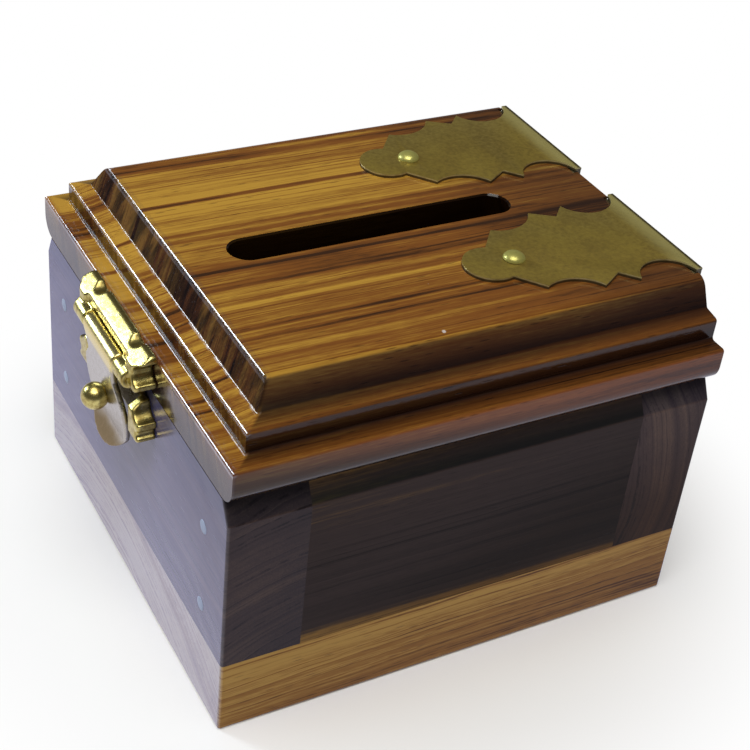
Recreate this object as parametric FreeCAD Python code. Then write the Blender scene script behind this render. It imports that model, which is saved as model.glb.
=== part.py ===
"""Wooden money box with a stepped lid, a coin slot, two scalloped hinges and a brass hasp.

Millimetres. +Z is up, the front with the hasp faces -Y, and the origin is the centre of the underside.
"""
import FreeCAD, Part
import math
import os

Vector = FreeCAD.Vector

# Wooden body: four boards standing on a bottom board of the full plan size.
body_width = 61.1
body_depth = 66.0
wall_height = 24.3
bottom_thickness = 10.8
front_back_thickness = 10.2
side_thickness = 10.0
body_bevel_inset = 1.5
body_bevel_drop = 2.8
wood_edge_round = 0.4

# Pins that hold the front and back boards to the ends of the side boards.
joint_pin_diameter = 1.8
joint_pin_bite = 8.0
joint_pin_outset = -1.5
joint_pin_low = 4.5
joint_pin_spacing = 12.0

# Stepped lid: each step is a size of its own, and the thickness is their sum.
lid_overhang = 0.5
seam_gap = 0.15
bullnose_radius = 3.0
nose_height = 2.1
lower_ledge_depth = 2.5
riser_height = 2.9
upper_ledge_depth = 2.2
upper_ledge_rise = 0.4
crown_bevel_run = 1.7
crown_bevel_rise = 3.4
nose_round = 0.4
step_round = 0.45
crown_foot_round = 0.4
crown_side_round = 1.9
crown_front_round = 0.4

# Coin slot through the lid, along the grain.
slot_length = 39.3
slot_width = 4.8
slot_shift = -0.5
slot_lip = 0.25

# Hinges: scalloped leaves on the lid and down the back. The lid leaf covers the barrel and bends to it.
hinge_inset = 17.05
leaf_thickness = 0.55
leaf_root_half = 9.7
leaf_waist_half = 6.2
leaf_first_point_half = 9.1
leaf_notch_half = 7.0
leaf_second_point_half = 8.9
leaf_third_point_half = 6.8
leaf_shoulder_half = 3.4
leaf_root_scallop = 8.0
leaf_notch_fall = 2.0
leaf_notch_rise = 3.1
leaf_end_scallop = 7.0
leaf_shoulder_run = 2.8
leaf_tip_lobe = 4.8
knuckle_diameter = 1.9
knuckle_count = 3
knuckle_gap = 0.12
knuckle_relief = 0.3
cover_gap = 0.15
cover_bend_round = 0.3
hinge_pin_diameter = 0.9
running_clearance = 0.05
barrel_clearance = 0.25

# Dome-headed nails, one near the tip of each hinge leaf.
nail_head_diameter = 2.9
nail_head_height = 0.9
nail_shank_diameter = 1.3
nail_bite = 7.5
nail_from_tip = 6.9

# Hasp: a plate on the lid, a hanging flap with a ball knob, and a plate on the body.
hasp_shift = -0.6
hasp_plate_half = 10.2
hasp_plate_corner = 0.7
hasp_plate_round = 0.3
hasp_pad_inner = 6.9
hasp_end_bite_radius = 1.35
hasp_spur_diameter = 1.2
hasp_spur_length = 3.0
hasp_spur_spread = 8.0
lid_plate_height = 4.8
lid_plate_above_seam = 1.1
lid_plate_thickness = 2.3
lid_plate_pad_rise = 0.5
lid_plate_slant_run = 2.1
lid_plate_slant_drop = 1.5
lid_plate_top_bite_radius = 1.5
lid_plate_top_bite_depth = 0.7
lid_plate_top_bite_spread = 12.0
body_plate_height = 4.8
body_plate_below_seam = 1.4
body_plate_thickness = 0.8
body_plate_pad_rise = 1.7
body_plate_slant_run = 1.5
body_plate_slant_drop = 1.0
body_plate_corner_bite_radius = 2.0
body_plate_low_bite_radius = 0.6

# Flap and its barrel, which stands half proud of the lid plate.
flap_barrel_diameter = 2.6
flap_barrel_height = 1.0
flap_barrel_stand = 0.2
flap_barrel_half = 8.4
flap_knuckle_half = 4.9
flap_pin_diameter = 1.2
flap_thickness = 0.8
flap_top_half = 4.8
flap_neck_half = 4.2
flap_neck_drop = 3.2
flap_shoulder_half = 5.9
flap_shoulder_drop = 5.2
flap_drop = 11.6
flap_lean = 1.5
flap_lip_drop = 2.8
flap_lip_flare = 1.2
flap_bend_round = 2.0

# Ball knob riveted square to the leaning flap, with its tail spread behind it.
knob_ball_diameter = 3.5
knob_shank_diameter = 1.8
knob_drop = 7.6
knob_stand_out = 1.2
knob_tail_diameter = 2.6
knob_tail_height = 0.3

# Places worked out from the sizes above.
half_width = body_width / 2
half_depth = body_depth / 2
body_height = bottom_thickness + wall_height
lid_bottom = body_height + seam_gap
nose_top = bullnose_radius + nose_height
upper_ledge_height = nose_top + riser_height
lid_thickness = upper_ledge_height + upper_ledge_rise + crown_bevel_rise
lid_top = lid_bottom + lid_thickness
lid_half_width = half_width + lid_overhang
lid_back = half_depth - seam_gap
cavity_half_width = half_width - side_thickness
cavity_half_depth = half_depth - front_back_thickness
joint_pin_x = half_width - side_thickness / 2 + joint_pin_outset
joint_pin_heights = [
    bottom_thickness + joint_pin_low,
    bottom_thickness + joint_pin_low + joint_pin_spacing,
]

knuckle_radius = knuckle_diameter / 2
hinge_pin_radius = hinge_pin_diameter / 2
hinge_axis_y = half_depth + leaf_thickness - knuckle_radius
cover_low = knuckle_radius + cover_gap
cover_high = cover_low + leaf_thickness
hinge_axis_z = lid_top - cover_low
hinge_centres = {"left": hinge_inset - half_width, "right": half_width - hinge_inset}
first_point_reach = leaf_root_scallop
notch_reach = first_point_reach + leaf_notch_fall
second_point_reach = notch_reach + leaf_notch_rise
third_point_reach = second_point_reach + leaf_end_scallop
shoulder_reach = third_point_reach + leaf_shoulder_run
tip_reach = shoulder_reach + leaf_tip_lobe
nail_reach = tip_reach - nail_from_tip

front_face = -half_depth
lid_plate_bottom = lid_bottom + lid_plate_above_seam
lid_plate_front = front_face - lid_plate_thickness
body_plate_top = body_height - body_plate_below_seam
body_plate_bottom = body_plate_top - body_plate_height
flap_barrel_radius = flap_barrel_diameter / 2
flap_axis_y = lid_plate_front - flap_barrel_stand
flap_axis_z = lid_plate_bottom + flap_barrel_height
flap_pin_radius = flap_pin_diameter / 2
flap_face_top = flap_axis_y - flap_barrel_radius
flap_lean_angle = math.atan2(flap_lean, flap_drop)
flap_square_thickness = flap_thickness * math.cos(flap_lean_angle)
knob_seat_y = flap_face_top + knob_drop * math.tan(flap_lean_angle)
knob_seat_z = flap_axis_z - knob_drop

X_AXIS = Vector(1, 0, 0)
Y_AXIS = Vector(0, 1, 0)
Z_AXIS = Vector(0, 0, 1)


def on_front(x, z, y=0.0):
    """Point of an outline drawn in the XZ plane."""
    return Vector(x, y, z)


def on_side(y, z, x=0.0):
    """Point of an outline drawn in the YZ plane."""
    return Vector(x, y, z)


def box(x_span, y_span, z_span):
    """Solid block between three (low, high) spans."""
    low = Vector(x_span[0], y_span[0], z_span[0])
    sizes = [span[1] - span[0] for span in (x_span, y_span, z_span)]
    return Part.makeBox(sizes[0], sizes[1], sizes[2], low)


def rod(radius, start, axis, length):
    """Solid cylinder from a start point along an axis."""
    return Part.makeCylinder(radius, length, start, axis)


def prism(edges, sweep):
    """Solid swept from a closed chain of edges."""
    wire = Part.Wire(Part.__sortEdges__(edges))
    return Part.Face(wire).extrude(sweep)


def rounded_outline(corners):
    """Edges of a closed polygon of (point, radius) corners, each radius limited by its two sides."""
    count = len(corners)
    joints = []
    for index in range(count):
        point, radius = corners[index]
        before = corners[index - 1][0] - point
        after = corners[(index + 1) % count][0] - point
        half_angle = before.getAngle(after) / 2
        limit = 0.49 * min(before.Length, after.Length)
        reach = min(radius / math.tan(half_angle), limit)
        start = point + before.normalize() * reach
        end = point + after.normalize() * reach
        middle = point
        if reach > 0:
            inward = (before + after).normalize()
            true_radius = reach * math.tan(half_angle)
            middle = point + inward * (true_radius / math.sin(half_angle) - true_radius)
        joints.append((start, middle, end, reach))
    edges = []
    for index in range(count):
        start, middle, end, reach = joints[index]
        if reach > 0:
            edges.append(Part.Arc(start, middle, end).toShape())
        edges.append(Part.makeLine(end, joints[(index + 1) % count][0]))
    return edges


def polygon(points):
    """Closed chain of straight edges."""
    return rounded_outline([(point, 0.0) for point in points])


def round_edges(solid, radius, chosen):
    """Fillet the edges for which chosen(edge) is true."""
    return solid.makeFillet(radius, [edge for edge in solid.Edges if chosen(edge)])


def mirror_x(solid):
    """Copy of a solid on the other side of the YZ plane."""
    return solid.mirror(Vector(0, 0, 0), X_AXIS)


def mirror_y(solid):
    """Copy of a solid on the other side of the XZ plane."""
    return solid.mirror(Vector(0, 0, 0), Y_AXIS)


def at_height(edge, height):
    """True for an edge that lies flat at a height."""
    return all(abs(vertex.Z - height) < 1e-6 for vertex in edge.Vertexes)


def at_depth(edge, depth):
    """True for an edge that lies in a plane parallel to the front."""
    return all(abs(vertex.Y - depth) < 1e-6 for vertex in edge.Vertexes)


def is_upright(edge):
    """True for an edge that climbs."""
    return abs(edge.Vertexes[0].Z - edge.Vertexes[-1].Z) > 1e-6


# Wooden body.

def make_bottom_board():
    """Bottom board with softened lower and corner edges."""
    board = box((-half_width, half_width), (-half_depth, half_depth), (0, bottom_thickness))
    return round_edges(board, wood_edge_round, lambda edge: is_upright(edge) or at_height(edge, 0))


def joint_pin_rods(radius):
    """Rods at the four front pin places, from the front face into the side boards."""
    length = front_back_thickness + joint_pin_bite
    return [
        rod(radius, Vector(side * joint_pin_x, front_face, height), Y_AXIS, length)
        for side in (-1, 1)
        for height in joint_pin_heights
    ]


def make_front_board():
    """Front board across the full width, with bevelled ends and pin holes."""
    bevel_foot = body_height - body_bevel_drop
    bevel_top = half_width - body_bevel_inset
    section = polygon([
        on_front(-half_width, bottom_thickness, front_face),
        on_front(half_width, bottom_thickness, front_face),
        on_front(half_width, bevel_foot, front_face),
        on_front(bevel_top, body_height, front_face),
        on_front(-bevel_top, body_height, front_face),
        on_front(-half_width, bevel_foot, front_face),
    ])
    board = prism(section, Y_AXIS * front_back_thickness)

    def is_front_corner(edge):
        return is_upright(edge) and at_depth(edge, front_face)

    board = round_edges(board, wood_edge_round, is_front_corner)
    return board.cut(joint_pin_rods(joint_pin_diameter / 2))


def make_side_board():
    """Right side board between the front and back boards, with its outer top edge bevelled."""
    section = polygon([
        on_front(cavity_half_width, bottom_thickness, -cavity_half_depth),
        on_front(half_width, bottom_thickness, -cavity_half_depth),
        on_front(half_width, body_height - body_bevel_drop, -cavity_half_depth),
        on_front(half_width - body_bevel_inset, body_height, -cavity_half_depth),
        on_front(cavity_half_width, body_height, -cavity_half_depth),
    ])
    board = prism(section, Y_AXIS * (2 * cavity_half_depth))
    rods = joint_pin_rods(joint_pin_diameter / 2)
    return board.cut(rods + [mirror_y(pin) for pin in rods])


# Lid.

def step_corners(place, nose, inward, low_radius, crown_radius):
    """Corners of the stepped edge, from the lid's underside up to its top."""
    def corner(inset, height, radius):
        return (place(nose + inward * inset, lid_bottom + height), radius)

    bevel_foot = lower_ledge_depth + upper_ledge_depth
    return [
        corner(0, 0, low_radius),
        corner(0, nose_top, nose_round),
        corner(lower_ledge_depth, nose_top, step_round),
        corner(lower_ledge_depth, upper_ledge_height, step_round),
        corner(bevel_foot, upper_ledge_height + upper_ledge_rise, crown_foot_round),
        corner(bevel_foot + crown_bevel_run, lid_thickness, crown_radius),
    ]


def slot_outline(length, width, height):
    """Closed outline of a slot with round ends, flat at a height."""
    radius = width / 2
    straight = length / 2 - radius
    middle = slot_shift
    left_back = Vector(-radius, middle + straight, height)
    right_back = Vector(radius, middle + straight, height)
    left_front = Vector(-radius, middle - straight, height)
    right_front = Vector(radius, middle - straight, height)
    return Part.Wire([
        Part.makeLine(left_front, left_back),
        Part.Arc(left_back, Vector(0, middle + straight + radius, height), right_back).toShape(),
        Part.makeLine(right_back, right_front),
        Part.Arc(right_front, Vector(0, middle - straight - radius, height), left_front).toShape(),
    ])


def make_slot_cutter():
    """Cutter for the coin slot with a softened upper rim."""
    through = Part.Face(slot_outline(slot_length, slot_width, lid_bottom)).extrude(Z_AXIS * lid_thickness)
    rim_low = slot_outline(slot_length, slot_width, lid_top - slot_lip)
    rim_high = slot_outline(slot_length + 2 * slot_lip, slot_width + 2 * slot_lip, lid_top)
    return through.fuse(Part.makeLoft([rim_low, rim_high], True, True))


def make_lid_panel():
    """Lid: two stepped sides and a stepped front, a flat back, the slot and room for the barrels."""
    right = step_corners(on_front, lid_half_width, -1, bullnose_radius, crown_side_round)
    left = step_corners(on_front, -lid_half_width, 1, bullnose_radius, crown_side_round)
    across = prism(rounded_outline(right + left[::-1]), Y_AXIS * body_depth)
    across.translate(Y_AXIS * front_face)
    front = step_corners(on_side, front_face, 1, 0, crown_front_round)
    back = [(on_side(lid_back, lid_top), 0), (on_side(lid_back, lid_bottom), 0)]
    along = prism(rounded_outline(front + back), X_AXIS * (2 * lid_half_width))
    along.translate(X_AXIS * -lid_half_width)
    panel = across.common(along)
    cutters = [make_slot_cutter()]
    for centre in hinge_centres.values():
        start = Vector(centre - leaf_root_half - barrel_clearance, hinge_axis_y, hinge_axis_z)
        length = 2 * (leaf_root_half + barrel_clearance)
        cutters.append(rod(knuckle_radius + barrel_clearance, start, X_AXIS, length))
    return panel.cut(cutters).removeSplitter()


# Hinges.

def leaf_outline():
    """Closed outline of a hinge leaf: root on the X axis, tip towards -Y, the same on both sides."""
    def at(half, reach):
        return Vector(half, -reach, 0)

    edges = [Part.makeLine(at(-leaf_root_half, 0), at(leaf_root_half, 0))]
    for side in (1, -1):
        root = at(side * leaf_root_half, 0)
        first = at(side * leaf_first_point_half, first_point_reach)
        notch = at(side * leaf_notch_half, notch_reach)
        second = at(side * leaf_second_point_half, second_point_reach)
        third = at(side * leaf_third_point_half, third_point_reach)
        shoulder = at(side * leaf_shoulder_half, shoulder_reach)
        root_waist = at(side * leaf_waist_half, leaf_root_scallop / 2)
        end_waist = at(side * leaf_waist_half, second_point_reach + leaf_end_scallop / 2)
        edges += [
            Part.Arc(root, root_waist, first).toShape(),
            Part.makeLine(first, notch),
            Part.makeLine(notch, second),
            Part.Arc(second, end_waist, third).toShape(),
            Part.makeLine(third, shoulder),
        ]
    tip_ends = [at(side * leaf_shoulder_half, shoulder_reach) for side in (1, -1)]
    edges.append(Part.Arc(tip_ends[0], at(0, tip_reach), tip_ends[1]).toShape())
    return edges


def knuckle_spans(first):
    """(low, high) spans along the barrel of every second knuckle, from the first one named."""
    pitch = 2 * leaf_root_half / knuckle_count
    spans = []
    for index in range(first, knuckle_count, 2):
        low = -leaf_root_half + index * pitch
        spans.append((low + knuckle_gap / 2, low + pitch - knuckle_gap / 2))
    return spans


def knuckle_tubes(first):
    """Solid knuckles about the barrel axis, every second one from the first one named."""
    return [
        rod(knuckle_radius, Vector(low, 0, 0), X_AXIS, high - low)
        for low, high in knuckle_spans(first)
    ]


def barrel_core(radius):
    """Rod through the whole barrel, about the barrel axis."""
    return rod(radius, Vector(-leaf_root_half, 0, 0), X_AXIS, 2 * leaf_root_half)


def make_back_leaf():
    """Back leaf about the barrel axis: flat towards -Y and tangent to its middle knuckle's top."""
    leaf = prism(leaf_outline(), Z_AXIS * leaf_thickness)
    leaf.translate(Z_AXIS * (knuckle_radius - leaf_thickness))
    reliefs = []
    for low, high in knuckle_spans(0):
        spread = (low - knuckle_gap, high + knuckle_gap)
        along_leaf = (-knuckle_radius - knuckle_relief, knuckle_radius)
        reliefs.append(box(spread, along_leaf, (0, knuckle_diameter)))
    return leaf.cut(reliefs).fuse(knuckle_tubes(1)).cut(barrel_core(hinge_pin_radius)).removeSplitter()


def make_lid_leaf():
    """Lid leaf about the barrel axis: flat over the barrel, bent down behind it to its outer knuckles."""
    leaf = prism(leaf_outline(), Z_AXIS * leaf_thickness)
    leaf.translate(Z_AXIS * cover_low)
    back = knuckle_radius
    cover = prism(rounded_outline([
        (on_side(0, cover_low, -leaf_root_half), 0),
        (on_side(back, cover_low, -leaf_root_half), leaf_thickness - cover_bend_round),
        (on_side(back, cover_high, -leaf_root_half), cover_bend_round),
        (on_side(0, cover_high, -leaf_root_half), 0),
    ]), X_AXIS * (2 * leaf_root_half))
    pieces = [cover] + knuckle_tubes(0)
    for low, high in knuckle_spans(0):
        pieces.append(prism(rounded_outline([
            (on_side(0, cover_low, low), 0),
            (on_side(back - leaf_thickness, cover_low, low), 0),
            (on_side(back - leaf_thickness, 0, low), 0),
            (on_side(back, 0, low), 0),
            (on_side(back, cover_high, low), cover_bend_round),
            (on_side(0, cover_high, low), 0),
        ]), X_AXIS * (high - low)))
    bore = barrel_core(hinge_pin_radius + running_clearance)
    return leaf.fuse(pieces).cut(bore).removeSplitter()


def make_nail():
    """Dome-headed nail with its head on the XY plane and its shank towards -Z."""
    head_radius = nail_head_diameter / 2
    dome_radius = (head_radius ** 2 + nail_head_height ** 2) / (2 * nail_head_height)
    dome = Part.makeSphere(dome_radius, Vector(0, 0, nail_head_height - dome_radius))
    space = box((-head_radius, head_radius), (-head_radius, head_radius), (0, nail_head_height))
    shank_length = leaf_thickness + nail_bite
    shank = rod(nail_shank_diameter / 2, Vector(0, 0, -shank_length), Z_AXIS, shank_length)
    return dome.common(space).fuse(shank).removeSplitter()


def to_lid(solid, centre):
    """Place a solid made about the barrel axis on top of the lid."""
    placed = solid.copy()
    placed.translate(Vector(centre, hinge_axis_y, hinge_axis_z))
    return placed


def to_back(solid, centre):
    """Place a solid made about the barrel axis down the back of the box."""
    placed = solid.copy()
    placed.rotate(Vector(0, 0, 0), Y_AXIS, 180)
    placed.rotate(Vector(0, 0, 0), X_AXIS, 90)
    placed.translate(Vector(centre, hinge_axis_y, hinge_axis_z))
    return placed


def seat_nail(leaf_top):
    """Nail in its place on a leaf that is still about the barrel axis, by the leaf's top."""
    nail = make_nail()
    nail.translate(Vector(0, -nail_reach, leaf_top))
    return nail


# Hasp.

def ornate_plate(bottom, height, thickness, pad_rise, slant, bites):
    """Hasp plate on the front face: thick end pads, a slanted top, bitten edges and two back spurs."""
    top = bottom + height
    half = hasp_plate_half
    edges = rounded_outline([
        (on_front(-half, bottom, front_face), hasp_plate_corner),
        (on_front(half, bottom, front_face), hasp_plate_corner),
        (on_front(half, top, front_face), hasp_plate_corner),
        (on_front(-half, top, front_face), hasp_plate_corner),
    ])
    pad_front = front_face - thickness - pad_rise
    full = prism(edges, Y_AXIS * (pad_front - front_face))
    middle = box((-hasp_pad_inner, hasp_pad_inner), (pad_front, front_face - thickness), (bottom, top))
    run, drop = slant
    wedge = prism(polygon([
        on_side(pad_front - run, top - 2 * drop, -2 * half),
        on_side(pad_front + 2 * run, top + drop, -2 * half),
        on_side(pad_front - run, top + drop, -2 * half),
    ]), X_AXIS * (4 * half))
    cutters = [middle, wedge]
    for radius, x, z in bites:
        for side in (-1, 1):
            cutters.append(rod(radius, Vector(side * x, pad_front, z), Y_AXIS, thickness + pad_rise))
    plate = full.cut(cutters).removeSplitter()
    plate = round_edges(plate, hasp_plate_round, lambda edge: at_depth(edge, pad_front))
    spurs = [
        rod(hasp_spur_diameter / 2, Vector(x, front_face, (bottom + top) / 2), Y_AXIS, hasp_spur_length)
        for x in (-hasp_spur_spread / 2, hasp_spur_spread / 2)
    ]
    plate = plate.fuse(spurs)
    plate.translate(X_AXIS * hasp_shift)
    return plate


def barrel_rod(radius, low, high):
    """Rod on the flap's pivot axis between two distances from the hasp's centre line."""
    start = Vector(hasp_shift + low, flap_axis_y, flap_axis_z)
    return rod(radius, start, X_AXIS, high - low)


def make_lid_plate():
    """Upper hasp plate on the lid with the two outer knuckles of the flap's barrel."""
    end_bite = (hasp_end_bite_radius, hasp_plate_half, lid_plate_bottom + lid_plate_height / 2)
    top_bite_height = lid_plate_bottom + lid_plate_height
    top_bite_height += lid_plate_top_bite_radius - lid_plate_top_bite_depth
    top_bite = (lid_plate_top_bite_radius, lid_plate_top_bite_spread / 2, top_bite_height)
    bites = [end_bite, top_bite]
    plate = ornate_plate(
        lid_plate_bottom,
        lid_plate_height,
        lid_plate_thickness,
        lid_plate_pad_rise,
        (lid_plate_slant_run, lid_plate_slant_drop),
        bites,
    )
    inner = flap_knuckle_half + knuckle_gap
    room = barrel_rod(flap_barrel_radius + barrel_clearance, -inner, inner)
    knuckles = [
        barrel_rod(flap_barrel_radius, -flap_barrel_half, -inner),
        barrel_rod(flap_barrel_radius, inner, flap_barrel_half),
    ]
    bore = barrel_rod(flap_pin_radius, -flap_barrel_half, flap_barrel_half)
    return plate.cut(room).fuse(knuckles).cut(bore).removeSplitter()


def make_body_plate():
    """Lower hasp plate on the body, with a thin middle behind the flap."""
    corner_bite = (body_plate_corner_bite_radius, hasp_plate_half, body_plate_top)
    low_bite_height = body_plate_bottom + body_plate_low_bite_radius + hasp_plate_corner
    low_bite = (body_plate_low_bite_radius, hasp_plate_half, low_bite_height)
    bites = [corner_bite, low_bite]
    return ornate_plate(
        body_plate_bottom,
        body_plate_height,
        body_plate_thickness,
        body_plate_pad_rise,
        (body_plate_slant_run, body_plate_slant_drop),
        bites,
    )


def flap_side_section():
    """Side outline of the flap: down from the barrel, leaning in, with its lip flared out."""
    bend = (flap_face_top + flap_lean, flap_axis_z - flap_drop)
    lip = (bend[0] - flap_lip_flare, bend[1] - flap_lip_drop)
    return rounded_outline([
        (on_side(flap_face_top, flap_axis_z), 0),
        (on_side(bend[0], bend[1]), flap_bend_round),
        (on_side(lip[0], lip[1]), 0),
        (on_side(lip[0] + flap_thickness, lip[1]), 0),
        (on_side(bend[0] + flap_thickness, bend[1]), flap_bend_round),
        (on_side(flap_face_top + flap_thickness, flap_axis_z), 0),
    ])


def flap_front_outline(depth):
    """Front outline of the flap in a plane: a waisted neck under the barrel, then a round shield."""
    def at(half, drop):
        return on_front(half, flap_axis_z - drop, depth)

    edges = [Part.makeLine(at(-flap_top_half, 0), at(flap_top_half, 0))]
    for side in (1, -1):
        neck = at(side * flap_neck_half, flap_neck_drop)
        edges.append(Part.makeLine(at(side * flap_top_half, 0), neck))
        edges.append(Part.makeLine(neck, at(side * flap_shoulder_half, flap_shoulder_drop)))
    shoulders = [at(side * flap_shoulder_half, flap_shoulder_drop) for side in (1, -1)]
    tip = at(0, flap_drop + flap_lip_drop)
    edges.append(Part.Arc(shoulders[0], tip, shoulders[1]).toShape())
    return edges


def make_flap():
    """Hasp flap: a waisted shield with a flared lip, hung on the middle knuckle."""
    half = flap_drop + flap_lip_drop
    side = prism(flap_side_section(), X_AXIS * (2 * half))
    side.translate(X_AXIS * -half)
    reach = flap_barrel_diameter + flap_lean + flap_lip_flare
    front = prism(flap_front_outline(flap_axis_y - reach), Y_AXIS * (2 * reach))
    tongue = side.common(front)
    tongue.translate(X_AXIS * hasp_shift)
    knuckle = barrel_rod(flap_barrel_radius, -flap_knuckle_half, flap_knuckle_half)
    bore = barrel_rod(flap_pin_radius + running_clearance, -flap_knuckle_half, flap_knuckle_half)
    return tongue.fuse(knuckle).cut([bore, knob_shank()]).removeSplitter()


def knob_inward():
    """Direction square to the flap's face, towards the box."""
    return Vector(0, math.cos(flap_lean_angle), math.sin(flap_lean_angle))


def knob_shank():
    """Shank of the knob, from the flap's face to its back."""
    seat = Vector(hasp_shift, knob_seat_y, knob_seat_z)
    return rod(knob_shank_diameter / 2, seat, knob_inward(), flap_square_thickness)


def make_knob():
    """Ball knob cut flat where it sits on the flap, with its shank and spread tail."""
    seat = Vector(hasp_shift, knob_seat_y, knob_seat_z)
    ball_radius = knob_ball_diameter / 2
    ball = Part.makeSphere(ball_radius, seat - knob_inward() * knob_stand_out)
    behind = rod(knob_ball_diameter, seat, knob_inward(), knob_ball_diameter)
    flap_back = seat + knob_inward() * flap_square_thickness
    tail = rod(knob_tail_diameter / 2, flap_back, knob_inward(), knob_tail_height)
    return ball.cut(behind).fuse([knob_shank(), tail]).removeSplitter()


def build():
    """Every sub-part by its node name."""
    lid_nail = seat_nail(cover_high)
    back_nail = seat_nail(knuckle_radius)
    lid_nails = [to_lid(lid_nail, centre) for centre in hinge_centres.values()]
    back_nails = [to_back(back_nail, centre) for centre in hinge_centres.values()]
    lid_plate = make_lid_plate()
    body_plate = make_body_plate()
    front_pins = joint_pin_rods(joint_pin_diameter / 2)
    front_board = make_front_board()
    side_board = make_side_board()

    parts = {
        "bottom_board": make_bottom_board(),
        "front_board": front_board.cut(body_plate),
        "back_board": mirror_y(front_board).cut(back_nails),
        "left_side_board": mirror_x(side_board),
        "right_side_board": side_board,
        "front_joint_pins": Part.makeCompound(front_pins),
        "back_joint_pins": Part.makeCompound([mirror_y(pin) for pin in front_pins]),
        "lid_panel": make_lid_panel().cut(lid_nails + [lid_plate]),
        "hinge_lid_nails": Part.makeCompound(lid_nails),
        "hinge_back_nails": Part.makeCompound(back_nails),
        "hasp_lid_plate": lid_plate,
        "hasp_pivot_pin": barrel_rod(flap_pin_radius, -flap_barrel_half, flap_barrel_half),
        "hasp_flap": make_flap(),
        "hasp_knob": make_knob(),
        "hasp_body_plate": body_plate,
    }
    lid_leaf = make_lid_leaf().cut(lid_nail)
    back_leaf = make_back_leaf().cut(back_nail)
    pin = barrel_core(hinge_pin_radius)
    for side, centre in hinge_centres.items():
        parts[side + "_hinge_lid_leaf"] = to_lid(lid_leaf, centre)
        parts[side + "_hinge_back_leaf"] = to_back(back_leaf, centre)
        parts[side + "_hinge_pin"] = to_lid(pin, centre)
    return parts


def main():
    """Write one STEP file per sub-part."""
    os.makedirs("parts", exist_ok=True)
    for node, shape in build().items():
        shape.exportStep("parts/" + node + ".step")
        print(node, len(shape.Solids), "solid(s)", round(shape.Volume, 2), "mm3")


main()
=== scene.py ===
"""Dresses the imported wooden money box: lacquered walnut, brass hinges and hasp, studio light and camera."""
import logging
import math
from dataclasses import dataclass
from enum import Enum
from functools import cache
from typing import Any

import bmesh
import bpy
from mathutils import Matrix, Vector


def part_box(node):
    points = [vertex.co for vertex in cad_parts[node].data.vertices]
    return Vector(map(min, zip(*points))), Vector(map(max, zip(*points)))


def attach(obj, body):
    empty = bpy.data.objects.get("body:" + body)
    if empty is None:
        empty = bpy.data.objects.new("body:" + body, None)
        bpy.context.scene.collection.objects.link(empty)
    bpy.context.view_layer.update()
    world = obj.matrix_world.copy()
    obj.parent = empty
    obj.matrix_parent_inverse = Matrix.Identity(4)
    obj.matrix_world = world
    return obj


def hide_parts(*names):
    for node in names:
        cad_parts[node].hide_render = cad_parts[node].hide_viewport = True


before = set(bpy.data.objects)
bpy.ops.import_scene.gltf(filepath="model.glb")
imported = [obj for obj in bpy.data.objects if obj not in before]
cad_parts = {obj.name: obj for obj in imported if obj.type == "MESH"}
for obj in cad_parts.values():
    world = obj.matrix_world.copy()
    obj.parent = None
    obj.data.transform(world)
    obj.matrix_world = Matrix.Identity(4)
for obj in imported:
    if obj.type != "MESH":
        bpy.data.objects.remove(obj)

Colour = tuple[float, float, float, float]
Place = tuple[float, float, float]
Socket = bpy.types.NodeSocket

LOG = logging.getLogger("money_box")
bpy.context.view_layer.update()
MM = 0.001
ORIGIN: Place = (0.0, 0.0, 0.0)
PLAIN: Colour = (1.0, 1.0, 1.0, 1.0)
FRONT_Y = -33.0
LACQUER_IOR = 1.8
BEAD_REACH = 0.8


class Grain(Enum):
    """Which way a board's grain runs; the value is the turn about Z that lays it along Y."""

    ALONG_Y = 0.0
    ALONG_X = math.pi / 2


class Facing(Enum):
    """Which way the head of a nail or pin looks; the value is its turn from straight up."""

    UP = (0.0, 0.0, 0.0)
    FRONT = (math.pi / 2, 0.0, 0.0)
    BACK = (-math.pi / 2, 0.0, 0.0)


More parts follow.
